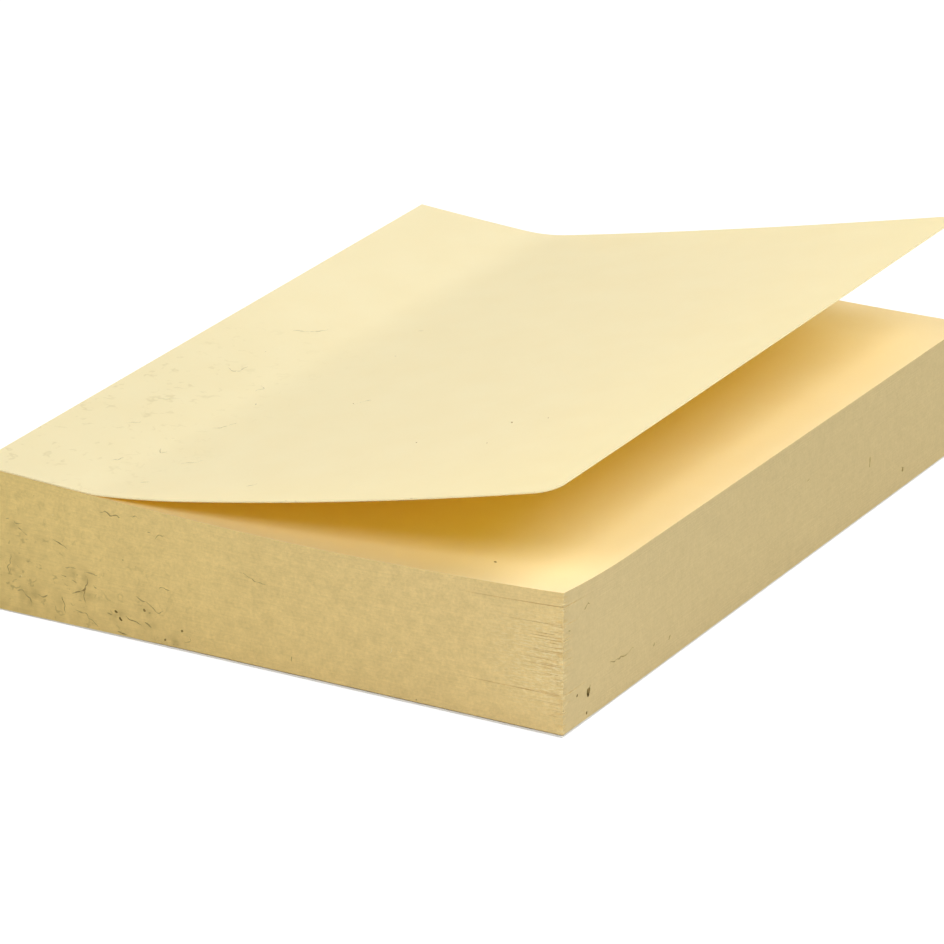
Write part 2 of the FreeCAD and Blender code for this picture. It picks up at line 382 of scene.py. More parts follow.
def stack_of_notes(edge_material, face_material):
    """The stack as one closed mesh: a wall whose rows are the edges of the sheets, and two faces."""
    tree, size = new_tree("stack_of_notes", stack_sizes)
    position = add(tree, "GeometryNodeInputPosition")
    half = add(tree, "ShaderNodeCombineXYZ", {
        0: add(tree, MATH, {0: size["Pad width"], 1: 0.5}, operation="MULTIPLY"),
        1: add(tree, MATH, {0: size["Pad length"], 1: 0.5}, operation="MULTIPLY"),
    })

    # The flat face: a grid with finer cells towards the thumbed corner
    cells = [add(tree, MATH, {0: size["Columns along " + way], 1: 1}, operation="ADD") for way in ("width", "length")]
    grid = add(tree, "GeometryNodeMeshGrid", {
        "Size X": 1.0, "Size Y": 1.0, "Vertices X": cells[0], "Vertices Y": cells[1],
    })
    spot = add(tree, "ShaderNodeSeparateXYZ", {0: position})
    graded = []
    for way, label, sign in ((0, "Pad width", -1), (1, "Pad length", 1)):
        share = add(tree, MATH, {0: spot.outputs[way], 1: sign, 2: 0.5}, operation="MULTIPLY_ADD")
        share = add(tree, MATH, {0: share, 1: size["Column grading"]}, operation="POWER")
        share = add(tree, MATH, {0: share, 1: sign, 2: -0.5 * sign}, operation="MULTIPLY_ADD")
        graded.append(add(tree, MATH, {0: share, 1: size[label]}, operation="MULTIPLY"))
    flat = add(tree, "GeometryNodeSetPosition", {
        0: grid, "Position": add(tree, "ShaderNodeCombineXYZ", {0: graded[0], 1: graded[1]}),
    })

    # The wall: one column for each point of the face's outline, three rows for each sheet
    rim = add(tree, "FunctionNodeCompare", {
        2: add(tree, "GeometryNodeInputMeshEdgeNeighbors"), 3: 1,
    }, data_type="INT", operation="EQUAL")
    outline = add(tree, "GeometryNodeMeshToCurve", {0: flat, 1: rim})
    columns = add(tree, MATH, {0: size["Columns along width"], 1: size["Columns along length"]}, operation="ADD")
    columns = add(tree, MATH, {0: columns, 1: 2}, operation="MULTIPLY")
    rows = add(tree, MATH, {0: size["Sheets"], 1: 3, 2: 1}, operation="MULTIPLY_ADD")
    sheet_wall = add(tree, "GeometryNodeMeshGrid", {
        "Size X": 1.0, "Size Y": 1.0,
        "Vertices X": add(tree, MATH, {0: columns, 1: 1}, operation="ADD"), "Vertices Y": rows,
    })
    index = add(tree, "GeometryNodeInputIndex")
    column = add(tree, MATH, {0: add(tree, MATH, {0: index, 1: rows}, operation="DIVIDE")}, operation="FLOOR")
    column = add(tree, MATH, {0: column, 1: columns}, operation="MODULO")
    row = add(tree, MATH, {0: index, 1: rows}, operation="MODULO")
    place = add(tree, "GeometryNodeSampleIndex", {
        0: outline, "Value": position, "Index": column,
    }, data_type="FLOAT_VECTOR", domain="POINT")
    wall = add(tree, "GeometryNodeStoreNamedAttribute", {
        0: sheet_wall, "Name": "row", "Value": row,
    }, data_type="FLOAT", domain="POINT")
    wall = add(tree, "GeometryNodeSetPosition", {0: wall, "Position": place})
    wall = add(tree, "GeometryNodeSetMaterial", {0: wall, "Material": edge_material})
    top_row = add(tree, MATH, {0: size["Sheets"], 1: 3}, operation="MULTIPLY")
    faces = []
    for face_row, flip in ((top_row, False), (0.0, True)):
        face = add(tree, "GeometryNodeStoreNamedAttribute", {
            0: flat, "Name": "row", "Value": face_row,
        }, data_type="FLOAT", domain="POINT")
        face = add(tree, "GeometryNodeSetMaterial", {0: face, "Material": face_material})
        if flip:
            face = add(tree, "GeometryNodeFlipFaces", {0: face})
        faces.append(face)
    whole = add(tree, "GeometryNodeJoinGeometry", {0: wall})
    for face in faces:
        tree.links.new(face.outputs[0], whole.inputs[0])

    # Heights: row 3n is the gap under sheet n, rows 3n + 1 and 3n + 2 are its lower and upper edge
    row = add(tree, "GeometryNodeInputNamedAttribute", {"Name": "row"}, data_type="FLOAT").outputs[0]
    third = add(tree, MATH, {0: row, 1: 3}, operation="DIVIDE")
    sheet = add(tree, MATH, {0: third}, operation="FLOOR")
    part = add(tree, MATH, {0: row, 1: 3}, operation="MODULO")
    late = add(tree, MATH, {0: part, 1: 1}, operation="SUBTRACT")
    late = add(tree, MATH, {0: late, 1: 0}, operation="MAXIMUM")
    level = add(tree, MATH, {0: part, 1: 0.15, 2: sheet}, operation="MULTIPLY_ADD")
    level = add(tree, MATH, {0: late, 1: 0.55, 2: level}, operation="MULTIPLY_ADD")
    share_up = add(tree, MATH, {0: level, 1: size["Sheets"]}, operation="DIVIDE")
    unit = []
    for way, label in ((0, "Pad width"), (1, "Pad length")):
        share = add(tree, MATH, {0: spot.outputs[way], 1: size[label]}, operation="DIVIDE")
        unit.append(add(tree, MATH, {0: share, 1: 0.5}, operation="ADD"))
    ends = []
    for end in ("Near", "Far"):
        curve = add(tree, "GeometryNodeCurveQuadraticBezier", {
            "Resolution": 64, "Start": size[end + " glued height"],
            "Middle": size[end + " pull height"], "End": size[end + " free height"],
        })
        found = add(tree, "GeometryNodeSampleCurve", {0: curve, "Factor": unit[0]}, mode="FACTOR", use_all_curves=True)
        ends.append(add(tree, "ShaderNodeSeparateXYZ", {0: found.outputs["Position"]}).outputs[2])
    top = add(tree, MIX, {"Factor": unit[1], 2: ends[0], 3: ends[1]}, data_type="FLOAT")
    past_x = add(tree, MATH, {0: add(tree, "ShaderNodeSeparateXYZ", {0: half}), 1: spot}, operation="SUBTRACT")
    past_y = add(tree, MATH, {
        0: spot.outputs[1], 1: add(tree, "ShaderNodeSeparateXYZ", {0: half}).outputs[1],
    }, operation="ADD")
    curls = []
    for past, label, power in ((past_x, "Curl along width", 1.5), (past_y, "Curl along length", 2.0)):
        near = add(tree, RANGE, {0: past, 1: size[label], 2: 0.0, 3: 0.0, 4: 1.0})
        curls.append(add(tree, MATH, {0: near, 1: power}, operation="POWER"))
    curl = add(tree, MATH, {0: curls[0], 1: curls[1]}, operation="MULTIPLY")
    top = add(tree, MATH, {0: curl, 1: size["Corner curl"], 2: top}, operation="MULTIPLY_ADD")
    # The gap over the liner opens towards the free side and is widest at the near side
    gap_share = add(tree, RANGE, {0: unit[0], 1: 0.08, 2: 0.42, 3: 0.0, 4: 1.0}, interpolation_type="SMOOTHSTEP")
    nearness = add(tree, RANGE, {0: unit[1], 1: 0.0, 2: 0.12, 3: 1.0, 4: 0.45}, interpolation_type="SMOOTHSTEP")
    gap_share = add(tree, MATH, {0: gap_share, 1: nearness}, operation="MULTIPLY")
    base = add(tree, MATH, {0: gap_share, 1: size["Liner gap"], 2: size["Liner thickness"]}, operation="MULTIPLY_ADD")
    height = add(tree, MIX, {"Factor": share_up, 2: base, 3: top}, data_type="FLOAT")
    raised = add(tree, "GeometryNodeSetPosition", {
        0: whole, "Position": add(tree, "ShaderNodeCombineXYZ", {0: spot, 1: spot.outputs[1], 2: height}),
    })
    merged = add(tree, "GeometryNodeMergeByDistance", {0: raised, "Distance": 0.001})
    merged = add(tree, "GeometryNodeStoreNamedAttribute", {
        0: merged, "Name": "sheet", "Value": level,
    }, data_type="FLOAT", domain="POINT")

    # Edges: each sheet stands a hair in from the outline, wanders along it, and grooves part the sheets
    size_of = add(tree, VECTOR, {0: position}, operation="ABSOLUTE")
    inside = add(tree, VECTOR, {0: half, 1: (0.001, 0.001, -1000.0)}, operation="SUBTRACT")
    at_edge = add(tree, VECTOR, {0: size_of, 1: inside}, operation="SUBTRACT")
    at_edge = add(tree, VECTOR, {0: at_edge}, operation="SIGN")
    at_edge = add(tree, VECTOR, {0: at_edge, 1: (0.0, 0.0, 0.0)}, operation="MAXIMUM")
    outward = add(tree, VECTOR, {0: add(tree, VECTOR, {0: position}, operation="SIGN"), 1: at_edge}, operation="MULTIPLY")
    scatter = add(tree, RANDOM, {2: 0.0, 3: size["Sheet scatter"], "ID": sheet, "Seed": size["Seed"]}, data_type="FLOAT")
    edge_place = add(tree, "ShaderNodeCombineXYZ", {
        0: add(tree, MATH, {0: spot, 1: 0.5}, operation="MULTIPLY"),
        1: add(tree, MATH, {0: spot.outputs[1], 1: 0.5}, operation="MULTIPLY"),
        2: add(tree, MATH, {0: sheet, 1: 3.7}, operation="MULTIPLY"),
    })
    wander = add(tree, NOISE, {"Vector": edge_place, "Scale": 1.0, "Detail": 2.0})
    wander = add(tree, MATH, {0: wander, 1: size["Edge wander"]}, operation="MULTIPLY")
    sheet_in = add(tree, MATH, {0: scatter.outputs[1], 1: wander}, operation="ADD")
    corner = add(tree, MATH, {0: past_x, 1: past_y}, operation="ADD")
    corner = add(tree, RANGE, {0: corner, 1: 0.7, 2: 0.0, 3: 0.0, 4: 1.0})
    ragged = add(tree, RANDOM, {
        2: 0.0, 3: size["Corner raggedness"], "ID": sheet,
        "Seed": add(tree, MATH, {0: size["Seed"], 1: 1}, operation="ADD"),
    }, data_type="FLOAT")
    sheet_in = add(tree, MATH, {0: ragged.outputs[1], 1: corner, 2: sheet_in}, operation="MULTIPLY_ADD")

    gap = add(tree, MATH, {0: third}, operation="ROUND")
    chance = add(tree, RANDOM, {
        2: 0.0, 3: 1.0, "ID": gap, "Seed": add(tree, MATH, {0: size["Seed"], 1: 2}, operation="ADD"),
    }, data_type="FLOAT")
    run = add(tree, MATH, {0: chance.outputs[1], 1: 3.0}, operation="POWER")
    run = add(tree, MATH, {0: run, 1: size["Short slit run"]}, operation="MULTIPLY")
    # The short ones are where the thumb runs: not in the lowest sheets, nor in the topmost
    for edge, inner in ((8, 18), (84, 78)):
        thumbed = add(tree, RANGE, {0: gap, 1: float(edge), 2: float(inner), 3: 0.25, 4: 1.0})
        run = add(tree, MATH, {0: run, 1: thumbed}, operation="MULTIPLY")
    for slit_gap, slit_run in long_slits.items():
        here = add(tree, "FunctionNodeCompare", {0: gap, 1: float(slit_gap), 12: 0.1}, data_type="FLOAT", operation="EQUAL")
        run = add(tree, MATH, {0: here, 1: slit_run, 2: run}, operation="MULTIPLY_ADD")
    run = add(tree, MATH, {0: run, 1: 0.05}, operation="MAXIMUM")
    reach = add(tree, MATH, {0: past_y, 1: 1 / slit_turn, 2: past_x}, operation="MULTIPLY_ADD")
    reach = add(tree, MATH, {0: reach, 1: run}, operation="DIVIDE")
    open_share = add(tree, RANGE, {0: reach, 1: 1.0, 2: 0.25, 3: 0.0, 4: 1.0})
    broken_place = add(tree, "ShaderNodeCombineXYZ", {
        0: add(tree, MATH, {0: reach, 1: run}, operation="MULTIPLY"),
        1: add(tree, MATH, {0: gap, 1: 5.3}, operation="MULTIPLY"),
    })
    broken = add(tree, NOISE, {"Vector": broken_place, "Scale": 1.8, "Detail": 2.0})
    broken = add(tree, RANGE, {0: broken, 1: 0.35, 2: 0.6, 3: 0.15, 4: 1.0})
    open_share = add(tree, MATH, {0: open_share, 1: broken}, operation="MULTIPLY")
    lift_sign = add(tree, MATH, {
        0: add(tree, MATH, {0: third, 1: gap}, operation="SUBTRACT"),
    }, operation="SIGN")
    # The longer a slit runs, the deeper and wider it stands open
    gape = add(tree, MATH, {0: run, 1: 0.13, 2: 0.55}, operation="MULTIPLY_ADD")
    gape = add(tree, MATH, {0: gape, 1: open_share}, operation="MULTIPLY")
    opening = add(tree, MATH, {0: gape, 1: size["Slit opening"]}, operation="MULTIPLY")
    opening = add(tree, MATH, {0: opening, 1: lift_sign}, operation="MULTIPLY")
    gap_in = add(tree, MATH, {0: size["Sheet scatter"], 1: size["Groove depth"]}, operation="ADD")
    gap_in = add(tree, MATH, {0: gape, 1: size["Slit depth"], 2: gap_in}, operation="MULTIPLY_ADD")
    is_gap = add(tree, MATH, {0: part, 1: 0.5}, operation="LESS_THAN")
    inset = add(tree, MIX, {"Factor": is_gap, 2: sheet_in, 3: gap_in}, data_type="FLOAT")
    at_top = add(tree, "FunctionNodeCompare", {0: row, 1: top_row, 12: 0.1}, data_type="FLOAT", operation="EQUAL")
    inset = add(tree, MIX, {"Factor": at_top, 2: inset, 3: sheet_in}, data_type="FLOAT")
    shift = add(tree, VECTOR, {
        0: outward, "Scale": add(tree, MATH, {0: inset, 1: -1.0}, operation="MULTIPLY"),
    }, operation="SCALE")
    rim_only = add(tree, VECTOR, {0: outward}, operation="LENGTH").outputs["Value"]
    rim_only = add(tree, MATH, {0: rim_only, 1: 1.0}, operation="MINIMUM")
    shift = add(tree, VECTOR, {
        0: shift,
        1: add(tree, "ShaderNodeCombineXYZ", {2: add(tree, MATH, {0: opening, 1: rim_only}, operation="MULTIPLY")}),
    }, operation="ADD")
    edged = add(tree, "GeometryNodeSetPosition", {0: merged, "Offset": shift})
    edged = add(tree, "GeometryNodeStoreNamedAttribute", {
        0: edged, "Name": "parted", "Value": open_share,
    }, data_type="FLOAT", domain="POINT")
    end_tree(tree, edged, None)
    return grow("note_stack", tree, stack_sizes)


# ---- the lifted note ----


def stack_top(x, y):
    """The height of the stack's top, without the thumbed corner."""
    u = x / pad_width + 0.5
    v = y / pad_length + 0.5
    ends = []
    for glued, middle, free in (near_rises, far_rises):
        ends.append(glued * (1 - u) * (1 - 2 * u) + middle * 4 * u * (1 - u) + free * u * (2 * u - 1))
    return pressed_top + ends[0] * (1 - v) + ends[1] * v


def note_edge(name, y, bends):
    """The under side of the lifted note along one of its ends, as a curve: flat on the stack for the
    width of the glue, then one arc for each bend."""
    points = []
    steps = 24
    for i in range(steps):
        x = -free_x + glue_width * i / steps
        points.append((x, y, stack_top(x, y) + glue_thickness))
    x = -free_x + glue_width
    z = stack_top(x, y) + glue_thickness
    angle = math.atan2(stack_top(x, y) - stack_top(x - 0.01, y), 0.01)
    points.append((x, y, z))
    for length, degrees in bends:
        end_angle = math.radians(degrees)
        turn = end_angle - angle
        radius = length / turn
        steps = max(8, round(length / 0.3))
        for i in range(1, steps + 1):
            way = angle + turn * i / steps
            points.append((
                x + radius * (math.sin(way) - math.sin(angle)),
                y,
                z - radius * (math.cos(way) - math.cos(angle)),
            ))
        x, y, z = points[-1]
        angle = end_angle
    curve = bpy.data.curves.new(name, "CURVE")
    curve.dimensions = "3D"
    spline = curve.splines.new("POLY")
    spline.points.add(len(points) - 1)
    for point, place in zip(spline.points, points):
        point.co = (*place, 1.0)
    guide = bpy.data.objects.new(name, curve)
    bpy.context.scene.collection.objects.link(guide)
    return guide


def lifted_note(material):
    """The top note. Paper bends one way at a time, so straight lines join its two end curves."""
    guides = [note_edge("near_edge", near_y, near_bends), note_edge("far_edge", -near_y, far_bends)]
    sizes = {"Near edge": guides[0], "Far edge": guides[1], "Cells across": 120, "Cells along": 90,
             "Cockle": 0.03, "Free edge sag": 0.02, "Worn corner across": worn_corner / pad_width,
             "Worn corner along": worn_corner / pad_length}
    tree, size = new_tree("lifted_note", sizes)
    grid = add(tree, "GeometryNodeMeshGrid", {
        "Size X": 1.0, "Size Y": 1.0,
        "Vertices X": add(tree, MATH, {0: size["Cells across"], 1: 1}, operation="ADD"),
        "Vertices Y": add(tree, MATH, {0: size["Cells along"], 1: 1}, operation="ADD"),
    })
    spot = add(tree, "ShaderNodeSeparateXYZ", {0: add(tree, "GeometryNodeInputPosition")})
    unit = [add(tree, MATH, {0: spot.outputs[way], 1: 0.5}, operation="ADD") for way in (0, 1)]
    # At the worn corner a small square of cells is drawn in to a quarter disc
    worn_sizes = (size["Worn corner across"], size["Worn corner along"])
    worn_from = add(tree, MATH, {0: 1.0, 1: worn_sizes[0]}, operation="SUBTRACT")
    outward = [
        add(tree, RANGE, {0: unit[0], 1: worn_from, 2: 1.0, 3: 0.0, 4: 1.0}),
        add(tree, RANGE, {0: unit[1], 1: worn_sizes[1], 2: 0.0, 3: 0.0, 4: 1.0}),
    ]
    for way, inward in ((0, "SUBTRACT"), (1, "ADD")):
        kept = add(tree, MATH, {0: outward[1 - way], 1: 2.0}, operation="POWER")
        kept = add(tree, MATH, {0: kept, 1: -0.5, 2: 1.0}, operation="MULTIPLY_ADD")
        kept = add(tree, MATH, {0: kept}, operation="SQRT")
        drawn_in = add(tree, MATH, {0: 1.0, 1: kept}, operation="SUBTRACT")
        drawn_in = add(tree, MATH, {0: drawn_in, 1: outward[way]}, operation="MULTIPLY")
        drawn_in = add(tree, MATH, {0: drawn_in, 1: worn_sizes[way]}, operation="MULTIPLY")
        unit[way] = add(tree, MATH, {0: unit[way], 1: drawn_in}, operation=inward)
    ends = []
    for label in ("Near edge", "Far edge"):
        guide = add(tree, "GeometryNodeObjectInfo", {0: size[label]}, transform_space="ORIGINAL")
        found = add(tree, "GeometryNodeSampleCurve", {
            0: guide.outputs["Geometry"], "Factor": unit[0],
        }, mode="FACTOR", use_all_curves=True)
        ends.append(found.outputs["Position"])
    place = add(tree, MIX, {"Factor": unit[1], 4: ends[0], 5: ends[1]}, data_type="VECTOR")
    surface = add(tree, "GeometryNodeSetPosition", {0: grid, "Position": place.outputs[1]})
    # A slow cockle, a few centimetres from crest to crest, which the glued strip holds flat
    position = add(tree, "GeometryNodeInputPosition")
    swell = add(tree, NOISE, {"Vector": position, "Scale": 0.06, "Detail": 1.0})
    swell = add(tree, RANGE, {0: swell, 1: 0.2, 2: 0.8, 3: -1.0, 4: 0.0})
    free = add(tree, RANGE, {0: spot, 1: -free_x + glue_width, 2: free_x, 3: 0.0, 4: 1.0})
    swell = add(tree, MATH, {0: swell, 1: free}, operation="MULTIPLY")
    swell = add(tree, MATH, {0: swell, 1: size["Cockle"]}, operation="MULTIPLY")
    cockled = add(tree, "GeometryNodeSetPosition", {
        0: surface,
        "Offset": add(tree, VECTOR, {0: add(tree, "GeometryNodeInputNormal"), "Scale": swell}, operation="SCALE"),
    })
    # Between its corners the free edge hangs a little
    length_share = add(tree, MATH, {0: spot.outputs[1], 1: 1 / pad_length, 2: 0.5}, operation="MULTIPLY_ADD")
    hang = add(tree, MATH, {0: length_share, 1: 2.0}, operation="POWER")
    hang = add(tree, MATH, {0: hang, 1: length_share}, operation="SUBTRACT")
    hang = add(tree, MATH, {0: hang, 1: 4.0}, operation="MULTIPLY")
    hang = add(tree, MATH, {0: hang, 1: free}, operation="MULTIPLY")
    hang = add(tree, MATH, {0: hang, 1: free}, operation="MULTIPLY")
    hang = add(tree, MATH, {0: hang, 1: size["Free edge sag"]}, operation="MULTIPLY")
    hung = add(tree, "GeometryNodeSetPosition", {
        0: cockled, "Offset": add(tree, "ShaderNodeCombineXYZ", {2: hang}),
    })
    smooth = add(tree, "GeometryNodeSetShadeSmooth", {0: hung})
    end_tree(tree, smooth, material)
    note = grow("lifted_note", tree, sizes, thickness=sheet_thickness)
    note.data.set_sharp_from_angle(angle=math.radians(40))
    for guide in guides:
        bpy.data.objects.remove(guide)
    return note


# ---- lint and worn fibre ----

# Threads and specks as they lie on each face. Each is its thickness and the places it passes; a speck
# is a very short thick thread. On the near side a place is X and Z, on the free side Y and Z, on the
# lifted note X and Y.
near_side_lint = (
    (0.09, ((-10.8, 7.5), (-10.1, 7.45), (-9.3, 7.35))),
    (0.05, ((-8.9, 7.5), (-8.4, 7.6), (-7.9, 7.6))),
    (0.07, ((-17.2, 5.8), (-16.9, 5.75))),
    (0.08, ((-16.7, 5.7), (-16.0, 5.6))),
    (0.08, ((-16.4, 5.4), (-16.1, 5.35), (-15.8, 5.05))),
    (0.08, ((-15.2, 7.45), (-15.1, 7.6))),
    (0.09, ((-13.9, 5.15), (-13.5, 4.9), (-13.1, 4.75))),
    (0.07, ((-16.9, 3.8), (-17.0, 3.1), (-17.05, 2.2))),
    (0.07, ((-13.3, 3.6), (-12.9, 3.65), (-12.4, 3.75))),
    (0.08, ((-13.4, 3.2), (-13.1, 3.0))),
    (0.09, ((-12.8, 2.95), (-12.4, 2.8))),
    (0.10, ((-11.9, 3.5), (-11.4, 3.55), (-10.9, 3.55))),
    (0.13, ((-12.5, 3.3), (-12.3, 3.25))),
    (0.12, ((-11.9, 3.3), (-11.7, 2.95), (-11.9, 2.5), (-12.4, 2.15), (-12.8, 2.0))),
    (0.07, ((-11.4, 2.9), (-11.0, 2.7))),
    (0.08, ((-11.9, 2.4), (-12.0, 1.7))),
    (0.10, ((-16.5, 1.5), (-16.0, 1.4), (-15.5, 0.9))),
    (0.09, ((-15.1, 1.45), (-14.4, 1.6))),
    (0.09, ((-13.5, 1.7), (-13.3, 1.25), (-13.2, 0.8))),
    (0.07, ((-12.6, 1.05), (-11.9, 0.95), (-11.4, 0.6), (-11.1, 0.25))),
    (0.12, ((-10.5, 1.3), (-10.1, 1.35))),
    (0.07, ((-9.2, 1.4), (-8.6, 1.2), (-8.1, 1.15))),
    (0.09, ((-8.5, 2.9), (-8.1, 2.6), (-7.6, 2.45), (-7.2, 2.1), (-6.6, 2.15))),
    (0.10, ((-7.7, 1.9), (-7.5, 1.95), (-7.4, 1.85))),
    (0.14, ((-7.9, 1.35), (-7.6, 1.15), (-7.4, 1.1))),
    (0.14, ((-6.1, 0.35), (-5.9, 0.3))),
    (0.07, ((-5.0, 1.1), (-4.9, 0.7), (-5.3, 0.5))),
    (0.09, ((-9.7, 0.35), (-9.1, 0.25))),
    (0.07, ((-7.5, 6.9), (-7.3, 6.75))),
    (0.07, ((-7.2, 6.5), (-6.8, 6.7), (-6.3, 6.85))),
    (0.07, ((-7.0, 3.55), (-6.6, 3.65), (-6.3, 3.5))),
    (0.08, ((-8.5, 4.6), (-8.3, 4.5))),
    (0.08, ((-9.3, 4.75), (-9.1, 4.7))),
    (0.07, ((1.7, 1.25), (1.65, 0.9))),
    (0.07, ((-1.3, 5.65), (-0.6, 5.35), (0.1, 5.15))),
    (0.08, ((9.6, 0.35), (9.8, 0.25))),
    (0.08, ((14.0, 5.6), (14.1, 5.55))),
)
free_side_lint = (
    (0.16, ((-22.2, 2.0), (-22.35, 1.7))),
    (0.10, ((-24.9, 6.1), (-24.6, 6.15))),
    (0.12, ((-12.8, 1.45), (-13.2, 1.15))),
    (0.10, ((-14.7, 1.8), (-15.0, 1.6))),
    (0.22, ((12.3, 3.65), (12.2, 3.35), (12.1, 3.0))),
    (0.34, ((16.65, 1.45), (16.85, 1.3), (16.95, 1.2))),
    (0.10, ((-6.5, 1.2), (-6.4, 1.15))),
    (0.07, ((-20.0, 2.5), (-18.6, 2.4), (-17.2, 2.3))),
    (0.07, ((-22.5, 2.6), (-22.2, 2.65))),
    (0.07, ((-23.1, 6.9), (-22.3, 6.95))),
    (0.07, ((4.0, 5.0), (4.4, 4.9))),
)
near_side_specks = (
    (0.18, ((-10.0, 1.6), (-9.9, 1.5), (-9.75, 1.5))),
    (0.20, ((-9.6, 1.3), (-9.5, 1.1), (-9.35, 1.05))),
    (0.18, ((-8.1, 2.15), (-7.95, 2.1), (-7.85, 1.95))),
    (0.18, ((-5.5, 1.35), (-5.35, 1.25))),
    (0.18, ((-6.65, 0.5), (-6.45, 0.4))),
    (0.14, ((0.7, 4.8), (0.8, 4.75))),
    (0.14, ((9.3, 4.9), (9.4, 4.85))),
)
free_side_specks = (
    (0.50, ((-22.42, 2.0), (-22.5, 1.7), (-22.55, 1.35))),
    (0.24, ((-22.55, 1.75), (-22.6, 1.25))),
    (0.18, ((-23.7, 2.1), (-23.8, 1.85))),
    (0.24, ((-22.6, 0.6), (-22.75, 0.3))),
)
top_note_lint = (
    (0.07, ((-11.7, -17.5), (-11.2, -18.1), (-11.0, -17.7))),
    (0.06, ((-9.2, -19.3), (-8.4, -19.1), (-8.1, -18.6))),
    (0.18, ((-8.6, -17.8), (-8.5, -17.75))),
    (0.06, ((-10.7, -13.5), (-10.1, -13.0), (-9.8, -12.2))),
    (0.06, ((-13.1, -20.6), (-12.7, -20.3), (-12.6, -19.9))),
    (0.05, ((-9.7, -22.9), (-9.1, -22.6))),
    (0.09, ((-6.9, -22.4), (-6.9, -22.3))),
    (0.05, ((-2.6, -22.8), (-2.2, -22.3))),
    (0.07, ((-11.9, -15.9), (-11.7, -15.7))),
    (0.06, ((-15.8, -11.3), (-15.2, -10.9), (-14.6, -10.5))),
    (0.05, ((-15.0, -4.8), (-14.1, -5.0), (-14.1, -4.0))),
    (0.06, ((-11.8, -7.0), (-11.5, -6.4), (-11.9, -5.9))),
    (0.07, ((-10.5, -9.1), (-10.4, -8.8))),
    (0.06, ((-14.5, -1.4), (-14.3, -1.3))),
    (0.07, ((-14.9, 2.6), (-13.9, 2.9), (-13.1, 3.9))),
    (0.05, ((-4.3, -8.4), (-3.5, -7.4))),
    (0.05, ((-15.4, -15.7), (-14.5, -14.8))),
    (0.08, ((4.2, -15.6), (4.25, -15.5))),
    (0.05, ((-6.8, 0.6), (-6.6, 0.8))),
    (0.05, ((-7.9, 5.6), (-7.6, 5.7))),
)
top_note_specks = (
    (0.13, ((8.4, -12.25), (8.55, -12.4))),
    (0.11, ((4.07, -15.48), (4.19, -15.58))),
    (0.11, ((-4.42, -8.18), (-4.3, -8.28))),
    (0.09, ((10.5, -11.6), (10.6, -11.7))),
    (0.08, ((8.95, -15.8), (9.05, -15.9))),
)
stack_top_specks = (
    (0.15, ((12.95, -22.3), (13.05, -22.35), (13.15, -22.45))),
)
# Fibre that the blade and the thumb have raised, on the near side up to the free corner
worn_fibre = (
    (0.07, ((18.3, 4.6), (18.6, 4.75), (18.8, 4.6))),
    (0.09, ((18.5, 4.3), (18.8, 4.1), (19.0, 4.2))),
    (0.06, ((18.2, 3.9), (18.5, 3.7), (18.6, 3.9))),
    (0.07, ((18.8, 6.2), (19.0, 6.0))),
    (0.06, ((17.8, 5.4), (18.2, 5.3))),
    (0.06, ((16.9, 6.3), (17.3, 6.25), (17.5, 6.1))),
    (0.06, ((18.6, 5.3), (18.9, 5.35))),
    (0.06, ((18.4, 2.9), (18.7, 2.85), (18.9, 3.0))),
    (0.05, ((18.6, 1.9), (18.9, 1.7))),
    (0.05, ((18.2, 1.2), (18.6, 1.1))),
    (0.06, ((8.2, 3.2), (8.25, 2.9), (8.2, 2.7))),
    (0.05, ((-16.2, 2.6), (-16.1, 2.4))),
    (0.05, ((-14.0, 6.6), (-13.8, 6.7))),
    (0.05, ((5.5, 6.4), (5.6, 6.2))),
    (0.05, ((-3.0, 3.1), (-2.9, 2.9))),
)
# Fibre pulled out of the lifted note's near edge by the blade
note_edge_fibre = (
    (0.09, ((1.2, -25.38), (1.5, -25.33))),
    (0.08, ((2.0, -25.36), (2.3, -25.38))),
    (0.07, ((9.4, -25.38), (9.7, -25.34))),
    (0.08, ((17.1, -25.36), (17.3, -25.34))),
)
near_side = ((1, 0, 0), (0, 0, 1), (0, near_y, 0), (0, 1, 0))
free_side = ((0, 1, 0), (0, 0, 1), (free_x, 0, 0), (-1, 0, 0))
note_face = ((1, 0, 0), (0, 1, 0), (0, 0, 20), (0, 0, -1))


